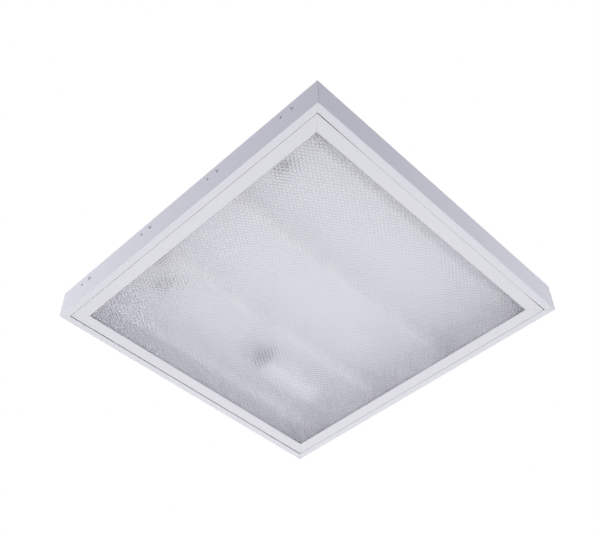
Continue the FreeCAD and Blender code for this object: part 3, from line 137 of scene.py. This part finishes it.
floor_paint, tree, out = empty_material("floor_paint")
grain = put(tree, "TexNoise", {"Vector": put(tree, "TexCoord").outputs["Object"], "Scale": FLOOR_GRAIN})
rough = ranged(tree, grain.outputs["Fac"], FLOOR_ROUGHNESS)
matt = put(tree, "BsdfPrincipled", {"Base Color": FLOOR_COLOUR, "Roughness": rough})
glow = put(tree, "Emission", {"Color": FLOOR_COLOUR})
looked_at = put(tree, "LightPath").outputs["Is Camera Ray"]
share = put(tree, "Math", {0: looked_at, 1: FLOOR_LIFT}, operation="MULTIPLY")
pale = put(tree, "MixShader", {"Fac": share.outputs[0], 1: matt.outputs[0], 2: glow.outputs[0]})
tree.links.new(pale.outputs[0], out.inputs["Surface"])
print("floor paint:", len(tree.nodes), "shader nodes")

# %% [markdown]
# The light hangs at the height of a ceiling, so the floor lies a room's height below it, out of the picture.
# Blender has a plane to add, but all new pieces in here come from arrays of points, and so does the floor.

# %% Floor
FLOOR_DROP = 2.6
FLOOR_REACH = 15.0


def mesh_piece(name, points, faces):
    """A mesh object at the origin, from arrays of points and lists of faces."""
    mesh = bpy.data.meshes.new(name)
    mesh.from_pydata(np.asarray(points).tolist(), [], faces)
    mesh.update()
    piece = bpy.data.objects.new(name, mesh)
    scene.collection.objects.link(piece)
    return piece


corners = np.array([(-1, -1), (1, -1), (1, 1), (-1, 1)]) * FLOOR_REACH
floor = mesh_piece("floor", np.column_stack([corners, np.full(4, -FLOOR_DROP)]), [[0, 1, 2, 3]])
floor.data.materials.append(floor_paint)
print("floor", FLOOR_DROP, "m below the ceiling face")

# %% [markdown]
# The picture's background is plain white. The world gives that white only to what looks at it straight, in a
# mirror or through the panel, and gives the object a dimmer fill with a touch of violet, which is the colour
# that the shaded sides have in the photograph. The standard view shows colours about as they are written.

# %% World
WORLD_FILL = (0.330, 0.330, 0.415, 1.0)
WORLD_WHITE = (1.0, 1.0, 1.0, 1.0)

scene.view_settings.view_transform = "Standard"
scene.world = bpy.data.worlds.new("studio")
scene.world.use_nodes = True
tree = scene.world.node_tree
tree.nodes.clear()
ray = put(tree, "LightPath").outputs
outside = put(tree, "Math", {0: ray["Is Camera Ray"], 1: ray["Is Glossy Ray"]}, operation="MAXIMUM")
seen = put(tree, "Math", {0: outside.outputs[0], 1: ray["Is Transmission Ray"]}, operation="MAXIMUM")
fill = put(tree, "Background", {"Color": WORLD_FILL})
white = put(tree, "Background", {"Color": WORLD_WHITE})
either = put(tree, "MixShader", {"Fac": seen.outputs[0], 1: fill.outputs[0], 2: white.outputs[0]})
put(tree, "OutputWorld", {"Surface": either.outputs[0]})
print("world fill", WORLD_FILL[:3])

# %% [markdown]
# Three soft lamps light the object. The two at its own height stand off to the left and right, so each side
# wall grows darker towards the near corner, and the wide one below lights the door and reaches inside. A
# lamp's row gives its place, what it is aimed at, the side of its square, its power and its colour.

# %% Lamps
SOFT_LAMPS = {
    "left_soft": ((-1.15, 0.75, 0.05), (-0.30, 0.20, -0.03), 0.7, 6.0, (1.0, 1.0, 1.0)),
    "right_soft": ((0.75, -1.15, 0.05), (0.20, -0.31, -0.03), 0.7, 4.2, (1.0, 1.0, 1.0)),
    "below_soft": ((0.50, 0.47, -2.0), (0.05, 0.05, 0.0), 2.2, 34.0, (1.0, 1.0, 0.945)),
}
for name, (place, aim, side, power, colour) in SOFT_LAMPS.items():
    data = bpy.data.lights.new(name, "AREA")
    data.shape = "SQUARE"
    data.size = side
    data.energy = power
    data.color = colour
    lamp = bpy.data.objects.new(name, data)
    lamp.matrix_world = aimed(place, Vector(aim) - Vector(place))
    lamp.visible_camera = False
    scene.collection.objects.link(lamp)
print(len(SOFT_LAMPS), "soft lamps")

# %% [markdown]
# Most of what shows is powder coat: a paint that is baked on, with a faint orange peel and no brush marks.
# It could be one flat colour, but then the sheet reads as paper. One node group works out the coat's small
# changes of colour, gloss and height, and each painted finish places it with its own values. Two more groups
# of the same build serve rolled metal, whose grain is drawn out along X, and moulded plastic.

# %% Shared surface effects
SOCKET_KINDS = {"colour": "NodeSocketColor", "value": "NodeSocketFloat", "vector": "NodeSocketVector"}
SURFACE_INPUTS = {
    "Place": "vector",
    "Colour": "colour",
    "Mottle": "value",
    "Roughness Low": "value",
    "Roughness High": "value",
    "Scale": "value",
}
SURFACE_OUTPUTS = {"Colour": "colour", "Roughness": "value", "Height": "value"}
CLOUD_DETAIL, GRAIN_DETAIL = 3.0, 2.0
GLOSS_SPAN = (0.3, 0.7)
EVEN, DRAWN_OUT = (1.0, 1.0, 1.0), (0.04, 1.0, 1.0)


def new_group(name, inputs, outputs):
    """A shader node group with named sockets, and its two end nodes."""
    group = bpy.data.node_groups.new(name, "ShaderNodeTree")
    for label, kind in inputs.items():
        group.interface.new_socket(label, in_out="INPUT", socket_type=SOCKET_KINDS[kind])
    for label, kind in outputs.items():
        group.interface.new_socket(label, in_out="OUTPUT", socket_type=SOCKET_KINDS[kind])
    return group, group.nodes.new("NodeGroupInput").outputs, group.nodes.new("NodeGroupOutput").inputs


def tinted(tree, colour, mask, amount):
    """A colour made lighter and darker by a mask from 0 to 1, by the given share at most."""
    low = put(tree, "Math", {0: 1.0, 1: amount}, operation="SUBTRACT").outputs[0]
    high = put(tree, "Math", {0: 1.0, 1: amount}, operation="ADD").outputs[0]
    level = ranged(tree, mask, (low, high))
    return put(tree, "VectorMath", {0: colour, "Scale": level}, operation="SCALE").outputs["Vector"]


def surface_group(name, cloud_scale, stretch):
    """Soft clouds change the colour and gloss; a fine grain, stretched along an axis, is the height."""
    group, given, result = new_group(name, SURFACE_INPUTS, SURFACE_OUTPUTS)
    cloud = {"Vector": given["Place"], "Scale": cloud_scale, "Detail": CLOUD_DETAIL}
    clouds = put(group, "TexNoise", cloud).outputs["Fac"]
    spread = put(group, "Mapping", {"Vector": given["Place"], "Scale": stretch}).outputs[0]
    fine = {"Vector": spread, "Scale": given["Scale"], "Detail": GRAIN_DETAIL}
    grain = put(group, "TexNoise", fine).outputs["Fac"]
    both = put(group, "Math", {0: clouds, 1: grain}, operation="ADD").outputs[0]
    half = put(group, "Math", {0: both, 1: 0.5}, operation="MULTIPLY").outputs[0]
    gloss = ranged(group, half, (given["Roughness Low"], given["Roughness High"]), GLOSS_SPAN)
    group.links.new(tinted(group, given["Colour"], half, given["Mottle"]), result["Colour"])
    group.links.new(gloss, result["Roughness"])
    group.links.new(grain, result["Height"])
    return group


powder_coat = surface_group("powder_coat", 7.0, EVEN)
rolled_metal = surface_group("rolled_metal", 25.0, DRAWN_OUT)
moulded_skin = surface_group("moulded_skin", 60.0, EVEN)
print("shared effects:", [group.name for group in bpy.data.node_groups])

# %% [markdown]
# Each finish is a shared effect with this finish's colour, mottle, gloss, grain and bump, and one Principled
# shader. What is the same all over, such as how metallic it is, is set straight on the shader. The finishes
# have the names of the record's material slots.

# %% Finishes
PEEL = (0.12, 0.0004)
SKIN = (0.10, 0.0002)
STREAKS = (0.15, 0.0001)
METAL = 1.0


def finish(name, effect, colour, mottle, gloss, grain, bump, metallic=0.0):
    """A material from a shared effect: gloss is the two ends of roughness, bump its strength and depth."""
    made, tree, out = empty_material(name)
    values = {
        "Place": put(tree, "TexCoord").outputs["Object"],
        "Colour": (*colour, 1.0),
        "Mottle": mottle,
        "Roughness Low": gloss[0],
        "Roughness High": gloss[1],
        "Scale": grain,
    }
    # The group's sockets exist once its tree is set, and put sets the tree first.
    surface = put(tree, "Group", values, node_tree=effect).outputs
    raised = put(tree, "Bump", {"Height": surface["Height"], "Strength": bump[0], "Distance": bump[1]})
    shader = put(
        tree,
        "BsdfPrincipled",
        {
            "Base Color": surface["Colour"],
            "Roughness": surface["Roughness"],
            "Normal": raised.outputs["Normal"],
            "Metallic": metallic,
        },
    )
    tree.links.new(shader.outputs["BSDF"], out.inputs["Surface"])
    return made


FINISH_ROWS = {
    "white_sheet": (powder_coat, (0.79, 0.79, 0.825), 0.02, (0.36, 0.46), 700.0, PEEL),
    "white_rail": (powder_coat, (0.785, 0.785, 0.815), 0.015, (0.32, 0.42), 800.0, PEEL),
    "zinc_steel": (rolled_metal, (0.62, 0.63, 0.65), 0.12, (0.28, 0.45), 900.0, STREAKS, METAL),
    "screw_steel": (moulded_skin, (0.48, 0.48, 0.49), 0.10, (0.32, 0.46), 900.0, STREAKS, METAL),
    "spring_steel": (rolled_metal, (0.42, 0.43, 0.46), 0.10, (0.20, 0.34), 900.0, STREAKS, METAL),
    "cap_aluminium": (rolled_metal, (0.72, 0.72, 0.73), 0.06, (0.25, 0.40), 900.0, STREAKS, METAL),
    "contact_brass": (rolled_metal, (0.72, 0.56, 0.30), 0.08, (0.22, 0.36), 900.0, STREAKS, METAL),
    "white_holder": (moulded_skin, (0.83, 0.83, 0.82), 0.02, (0.34, 0.46), 1500.0, SKIN),
    "grey_rotor": (moulded_skin, (0.68, 0.68, 0.68), 0.03, (0.36, 0.50), 1500.0, SKIN),
    "ballast_case": (powder_coat, (0.85, 0.85, 0.86), 0.02, (0.28, 0.38), 900.0, PEEL),
    "ballast_board": (moulded_skin, (0.05, 0.16, 0.06), 0.25, (0.30, 0.55), 400.0, SKIN),
    "dark_block": (moulded_skin, (0.045, 0.045, 0.05), 0.10, (0.38, 0.55), 1500.0, SKIN),
    "grey_block": (moulded_skin, (0.50, 0.51, 0.52), 0.04, (0.38, 0.50), 1500.0, SKIN),
    "black_rubber": (moulded_skin, (0.022, 0.022, 0.023), 0.15, (0.60, 0.80), 900.0, SKIN),
    "white_lead": (moulded_skin, (0.80, 0.80, 0.80), 0.03, (0.28, 0.40), 1200.0, SKIN),
}
FINISHES = {name: finish(name, *row) for name, row in FINISH_ROWS.items()}
print(len(FINISHES), "finishes")

# %% [markdown]
# Two finishes follow the piece itself. The first is the lamp's. Switched off, a lamp is chalk white under
# clear glass and greys a little near its caps, so its colour goes by how far from the middle a point lies.

# %% Lamp glass
LAMP_WHITE, LAMP_END = (0.81, 0.81, 0.83, 1.0), (0.60, 0.59, 0.58, 1.0)
LAMP_SHADE = (0.215, 0.262)
LAMP_CLOUD, LAMP_CLOUD_DETAIL = 90.0, 2.0
LAMP_ROUGHNESS = (0.10, 0.20)


def between(tree, share, first, second):
    """A colour that goes from the first to the second as share goes from 0 to 1."""
    ramp = put(tree, "ValToRGB", {"Fac": share})
    ramp.color_ramp.elements[0].color = first
    ramp.color_ramp.elements[1].color = second
    return ramp.outputs["Color"]


lamp_glass, tree, out = empty_material("lamp_glass")
place = put(tree, "TexCoord").outputs["Object"]
along = put(tree, "SeparateXYZ", {0: place}).outputs["X"]
outward = put(tree, "Math", {0: along}, operation="ABSOLUTE").outputs[0]
chalk = between(tree, ranged(tree, outward, span=LAMP_SHADE), LAMP_WHITE, LAMP_END)
cloud = put(tree, "TexNoise", {"Vector": place, "Scale": LAMP_CLOUD, "Detail": LAMP_CLOUD_DETAIL})
rough = ranged(tree, cloud.outputs["Fac"], LAMP_ROUGHNESS)
shader = put(tree, "BsdfPrincipled", {"Base Color": chalk, "Roughness": rough})
tree.links.new(shader.outputs["BSDF"], out.inputs["Surface"])
FINISHES["lamp_glass"] = lamp_glass
print("lamp glass shades from", LAMP_SHADE[0], "to", LAMP_SHADE[1], "m")

# %% [markdown]
# The second is the earth lead's, green with yellow stripes that wind along it. A wave that runs slantwise
# through space and is cut off sharply gives such stripes without a map of the lead's own length.

# %% Earth lead
EARTH_GREEN, EARTH_YELLOW = (0.03, 0.20, 0.035, 1.0), (0.68, 0.55, 0.03, 1.0)
EARTH_STRIPES = {"Scale": 90.0, "Distortion": 0.0}
STRIPE_EDGE = (0.45, 0.55)
SHEATH_GRAIN = 1200.0
SHEATH_ROUGHNESS = (0.28, 0.40)

earth_lead, tree, out = empty_material("earth_lead")
place = put(tree, "TexCoord").outputs["Object"]
wind = put(tree, "TexWave", {"Vector": place, **EARTH_STRIPES}, bands_direction="DIAGONAL")
stripe = ranged(tree, wind.outputs["Fac"], span=STRIPE_EDGE)
sheath = between(tree, stripe, EARTH_GREEN, EARTH_YELLOW)
grain = put(tree, "TexNoise", {"Vector": place, "Scale": SHEATH_GRAIN})
rough = ranged(tree, grain.outputs["Fac"], SHEATH_ROUGHNESS)
shader = put(tree, "BsdfPrincipled", {"Base Color": sheath, "Roughness": rough})
tree.links.new(shader.outputs["BSDF"], out.inputs["Surface"])
FINISHES["earth_lead"] = earth_lead
print(len(FINISHES), "finishes with the lamps' and the earth lead's")

# %% [markdown]
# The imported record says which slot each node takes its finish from, and the finishes above have the slots'
# names, so one loop dresses every node but the panel, which is made new further down.

# %% Dress the nodes
PANEL_SLOT = "clear_prisms"
for row in frame["record"]["subparts"]:
    if row["material_slot"] != PANEL_SLOT:
        mesh = nodes[row["node"]].data
        mesh.materials.clear()
        mesh.materials.append(FINISHES[row["material_slot"]])
print("dressed", sum(bool(piece.data.materials) for piece in nodes.values()), "nodes")

# %% [markdown]
# Behind each catch's plunger sits a coil, which in the real catch gets shorter as the plunger goes in. The
# imported coils are one rigid node, and the plungers would run through it. The coils made here keep their
# full length; only the length they would have when pressed is worked out.

# %% Catch springs
SPRING_TURNS = 5
SPRING_WIRE_RADIUS = 0.00025
STEPS_PER_TURN = 24
WIRE_SIDES = 10
CATCH_TRAVEL = 0.003


def coil(name, x, z, radius, start, end):
    """A round wire along a helix. The wire's middle goes round the axis at a steady radius and moves along Y
    in step with the angle. Its rings are spanned by the way out from the axis and the way square to that
    and to the wire."""
    angle = np.linspace(0, 2 * np.pi * SPRING_TURNS, SPRING_TURNS * STEPS_PER_TURN + 1)
    climb = (end - start) / angle[-1]
    outward = np.column_stack([np.cos(angle), np.zeros_like(angle), np.sin(angle)])
    along = np.column_stack([-radius * np.sin(angle), np.full_like(angle, climb), radius * np.cos(angle)])
    along /= np.linalg.norm(along, axis=1, keepdims=True)
    square = np.cross(along, outward)
    axis = np.column_stack([np.full_like(angle, x), start + climb * angle, np.full_like(angle, z)])
    middle = radius * outward + axis
    turn = np.linspace(0, 2 * np.pi, WIRE_SIDES, endpoint=False)[None, :, None]
    rings = np.cos(turn) * outward[:, None] + np.sin(turn) * square[:, None]
    points = middle[:, None] + SPRING_WIRE_RADIUS * rings
    at = np.arange(points[..., 0].size).reshape(points.shape[:2])
    near, far = at[:-1], at[1:]
    skin = np.stack([near, np.roll(near, -1, 1), np.roll(far, -1, 1), far], -1).reshape(-1, 4)
    ends = [at[0, ::-1].tolist(), at[-1].tolist()]
    return mesh_piece(name, points.reshape(-1, 3), skin.tolist() + ends)


coil_low, coil_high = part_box("catch_springs")
coil_reach = (coil_high.z - coil_low.z) / 2
coil_level = (coil_low.z + coil_high.z) / 2
coil_length = coil_high.y - coil_low.y
for hand, x in {"left": coil_low.x + coil_reach, "right": coil_high.x - coil_reach}.items():
    spring = coil(
        f"catch_coil_{hand}",
        x,
        coil_level,
        coil_reach - SPRING_WIRE_RADIUS,
        coil_low.y + SPRING_WIRE_RADIUS,
        coil_high.y - SPRING_WIRE_RADIUS,
    )
    spring.data.shade_smooth()
    spring.data.materials.append(FINISHES["spring_steel"])
    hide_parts("catch_springs")
    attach(spring, "housing")
    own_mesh(spring)
pressed = coil_length - CATCH_TRAVEL
print("springs", round(1000 * coil_length, 2), "mm long, and", round(1000 * pressed, 2), "mm pressed")

# %% [markdown]
# The door holds a clear sheet that is smooth above and has a field of small blunt prisms below. A bump map
# would only shade it, but the look comes from light that bends through real facets, so they are modelled.
# The prisms sit on a grid of half cells whose points are tips and valleys in turn, like a chequerboard.
# Each prism has a small flat end and six facets, and each facet shows what lies inside a little shifted.

# %% Prism points
PRISMS_ALONG = 55
PRISMS_ACROSS = 81
PRISM_DEPTH = 0.0008
FLAT_SHARE = 0.50

panel_low, panel_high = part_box("prismatic_panel")
panel_steps = [
    (panel_high.x - panel_low.x) / (2 * PRISMS_ALONG),
    (panel_high.y - panel_low.y) / (2 * PRISMS_ACROSS),
]
print("half cells of", [round(1000 * step, 2) for step in panel_steps], "mm")


def prism_points(low, steps):
    """Tips and valleys on a grid of half cells, in turn. On each step along X lie the rim of the tip's flat
    end and the valley corner, which is as far from the tip as from its two nearest neighbours. On each step
    along Y lies the rim of the flat end. All heights are either the tips' or the valleys'."""
    step_x, step_y = steps
    row, column = np.mgrid[0 : 2 * PRISMS_ACROSS + 1, 0 : 2 * PRISMS_ALONG + 1]
    tip = (row + column) % 2 == 0
    x, y = low.x + step_x * column, low.y + step_y * row
    valley = low.z + PRISM_DEPTH
    reach = (step_x**2 + step_y**2) / (2 * step_x)

    def along(share, height):
        """One point on every step along X, a share away from the step's tip."""
        run = np.where(tip[:, :-1], share, step_x - share)
        return np.stack([x[:, :-1] + run, y[:, :-1], np.full_like(run, height)], -1)

    run_y = np.where(tip[:-1], FLAT_SHARE * step_y, (1 - FLAT_SHARE) * step_y)
    corners = np.stack([x, y, np.where(tip, low.z, valley)], -1)
    flat_x = along(FLAT_SHARE * reach, low.z)
    valley_x = along(reach, valley)
    flat_y = np.stack([x[:-1], y[:-1] + run_y, np.full_like(run_y, low.z)], -1)
    return tip, (corners, flat_x, valley_x, flat_y)


# %% [markdown]
# Each quarter cell has a tip at two opposite corners. Every tip brings a corner of its flat end and two
# facets. The facets are the same in all cells, so whole arrays of them are made at once.

# %% Prism sheet
def prism_sheet(low, high, steps):
    """The facets of all quarter cells, walls round the rim and a flat lid. Each point keeps how far it lies
    from the tips towards the valleys, from 0 to 1."""
    tip, blocks = prism_points(low, steps)
    starts = np.cumsum([0] + [block[..., 0].size for block in blocks])
    at, flat_x, valley_x, flat_y = (
        start + np.arange(block[..., 0].size).reshape(block.shape[:2])
        for start, block in zip(starts, blocks)
    )
    a, b, c, d = at[:-1, :-1], at[:-1, 1:], at[1:, :-1], at[1:, 1:]
    near_flat, far_flat = flat_x[:-1], flat_x[1:]
    near, far = valley_x[:-1], valley_x[1:]
    left, right = flat_y[:, :-1], flat_y[:, 1:]
    rising, falling = tip[:-1, :-1], ~tip[:-1, :-1]

    def pick(where, *corners):
        """The same face in all quarter cells of one kind."""
        return np.stack([corner[where] for corner in corners], -1)

    triangles = [
        pick(rising, a, left, near_flat),
        pick(rising, d, right, far_flat),
        pick(falling, b, near_flat, right),
        pick(falling, c, far_flat, left),
        pick(rising, near_flat, far, near),
        pick(rising, far_flat, near, far),
        pick(falling, near_flat, near, far),
        pick(falling, far_flat, far, near),
    ]
    broad = [
        pick(rising, near_flat, left, c, far),
        pick(rising, far_flat, right, b, near),
        pick(falling, near_flat, far, d, right),
        pick(falling, far_flat, near, a, left),
    ]

    def along_row(k):
        """All points of a row of the grid, in order along X."""
        tip_first = tip[k, :-1]
        second = np.where(tip_first, flat_x[k], valley_x[k])
        third = np.where(tip_first, valley_x[k], flat_x[k])
        return np.append(np.stack([at[k, :-1], second, third], -1).ravel(), at[k, -1])

    def along_column(k):
        """All points of a column of the grid, in order along Y."""
        return np.append(np.stack([at[:-1, k], flat_y[:, k]], -1).ravel(), at[-1, k])

    rim = np.concatenate(
        [along_row(0), along_column(-1)[1:-1], along_row(-1)[::-1], along_column(0)[::-1][1:-1]]
    )
    points = np.concatenate([block.reshape(-1, 3) for block in blocks])
    lid = points[rim].copy()
    lid[:, 2] = high.z
    upper = len(points) + np.arange(len(rim))
    walls = np.stack([rim, np.roll(rim, -1), np.roll(upper, -1), upper], -1)
    faces = np.concatenate(triangles).tolist() + np.concatenate(broad).tolist() + walls.tolist()
    piece = mesh_piece("prism_sheet", np.concatenate([points, lid]), faces + [upper.tolist()])
    rise = np.append((points[:, 2] - low.z) / PRISM_DEPTH, np.zeros(len(lid)))
    piece.data.attributes.new("rise", "FLOAT", "POINT").data.foreach_set("value", rise)
    return piece


panel = prism_sheet(panel_low, panel_high, panel_steps)
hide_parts("prismatic_panel")
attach(panel, "door")
panel.data.calc_loop_triangles()
print("prism sheet:", len(panel.data.loop_triangles), "triangles")

# %% [markdown]
# The sheet is clear acrylic with a slight haze, a little rougher in the valleys. Its colour is painted darker
# and cooler in the valleys, a painted shade that draws the dark mesh between the prisms. A thin sheen is the
# veil that fine dust leaves on it, and its cool tint is painted shade as well, the violet of the shaded
# parts.
# Cycles would find the light that falls through it only by chance. So where soft light inside meets the
# sheet, the sheet scatters it evenly, which is what a field of prisms does, while all that looks at the sheet
# sees it bend.

# %% Clear acrylic
# The valleys' colour is painted shade: darker and cooler than the tips', it draws the dark mesh between the
# prisms.
ACRYLIC_TIP, ACRYLIC_VALLEY_SHADE = (0.99, 0.99, 0.978, 1.0), (0.86, 0.86, 0.88, 1.0)
ACRYLIC_ROUGHNESS = (0.18, 0.22)
ACRYLIC_CLEAR = 0.895
ACRYLIC_IOR = 1.49
ACRYLIC_SCATTER = (0.99, 0.99, 0.985, 1.0)
# The sheen is partly a dust veil and partly painted shade: its cool tint stands for the violet of the shaded
# parts.
DUST, DUST_ROUGHNESS, DUST_AND_SHADE_TINT = 0.45, 0.52, (0.48, 0.48, 1.0, 1.0)

clear_prisms, tree, out = empty_material(PANEL_SLOT)
rise = put(tree, "Attribute", attribute_name="rise").outputs["Fac"]
acrylic = put(
    tree,
    "BsdfPrincipled",
    {
        "Base Color": between(tree, rise, ACRYLIC_TIP, ACRYLIC_VALLEY_SHADE),
        "Roughness": ranged(tree, rise, ACRYLIC_ROUGHNESS),
        "IOR": ACRYLIC_IOR,
        "Transmission Weight": ACRYLIC_CLEAR,
        "Sheen Weight": DUST,
        "Sheen Roughness": DUST_ROUGHNESS,
        "Sheen Tint": DUST_AND_SHADE_TINT,
    },
)
through = put(tree, "BsdfTransparent")
scatter = put(tree, "BsdfTranslucent", {"Color": ACRYLIC_SCATTER})
leaving = put(tree, "NewGeometry").outputs["Backfacing"]
soft = put(tree, "MixShader", {"Fac": leaving, 1: through.outputs[0], 2: scatter.outputs[0]})
inside = put(tree, "LightPath").outputs["Is Diffuse Ray"]
pane = put(tree, "MixShader", {"Fac": inside, 1: acrylic.outputs[0], 2: soft.outputs[0]})
tree.links.new(pane.outputs[0], out.inputs["Surface"])
panel.data.materials.append(clear_prisms)
print("acrylic roughness from", ACRYLIC_ROUGHNESS[0], "to", ACRYLIC_ROUGHNESS[1])
